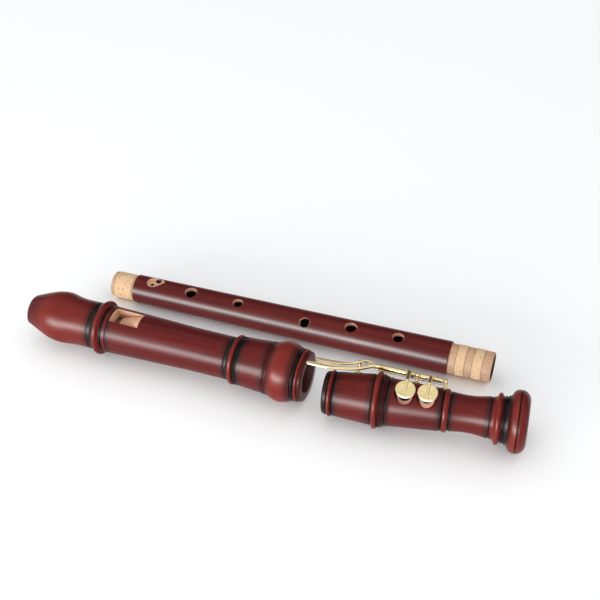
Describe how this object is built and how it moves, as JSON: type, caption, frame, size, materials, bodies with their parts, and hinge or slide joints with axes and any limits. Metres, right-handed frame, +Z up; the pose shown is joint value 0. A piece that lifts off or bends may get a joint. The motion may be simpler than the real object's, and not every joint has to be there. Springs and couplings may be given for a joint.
{
  "type": "tenor recorder",
  "caption": "Wooden tenor recorder in its three joints: head with beak and window, middle with finger holes and cork tenons, foot with a double brass key.",
  "frame": {"origin": "on the surface that the joints lie on, below the centre of the bounding box", "axes": "+X runs from the beak towards the bell, +Y from the head and foot joints at the front to the middle joint at the back, +Z up"},
  "size_m": [0.3902, 0.105, 0.0469],
  "materials": {
    "stained_wood": "satin dark red-brown stain and oil",
    "cedar": "bare",
    "cork": "bare cork bark",
    "brass": "polished",
    "steel": "ground",
    "pad_leather": "matt white"
  },
  "bodies": {
    "middle": {"middle_joint": "stained_wood", "foot_tenon_cork": "cork", "head_tenon_cork_inner": "cork", "head_tenon_cork_outer": "cork"},
    "head": {"head_joint": "stained_wood", "windway_block": "cedar"},
    "foot": {"foot_joint": "stained_wood", "hinge_rod": "steel", "upper_post": "brass", "middle_post": "brass", "lower_post": "brass", "upper_key_spring": "steel", "lower_key_spring": "steel"},
    "upper_key": {"upper_key_touch": "brass", "upper_key_tube": "brass", "upper_key_arm": "brass", "upper_key_cup": "brass", "upper_key_pad": "pad_leather"},
    "lower_key": {"lower_key_touch": "brass", "lower_key_tube": "brass", "lower_key_arm": "brass", "lower_key_cup": "brass", "lower_key_pad": "pad_leather"}
  },
  "joints": [
    {"name": "head_lift", "type": "slide", "parent": "middle", "child": "head", "axis": [0, 0, 1], "range_m": [0, 0.1]},
    {"name": "foot_lift", "type": "slide", "parent": "middle", "child": "foot", "axis": [0, 0, 1], "range_m": [0, 0.1]},
    {"name": "upper_key_hinge", "type": "hinge", "parent": "foot", "child": "upper_key", "pos_m": [0.06915, -0.01486, 0.03674], "axis": [0.9989, 0.0369, -0.029], "range_deg": [0, 10], "stiffness_Nm_per_rad": 0.02, "springref_deg": -28.65},
    {"name": "lower_key_hinge", "type": "hinge", "parent": "foot", "child": "lower_key", "pos_m": [0.06915, -0.01486, 0.03674], "axis": [0.9989, 0.0369, -0.029], "range_deg": [0, 10], "stiffness_Nm_per_rad": 0.02, "springref_deg": -28.65}
  ]
}
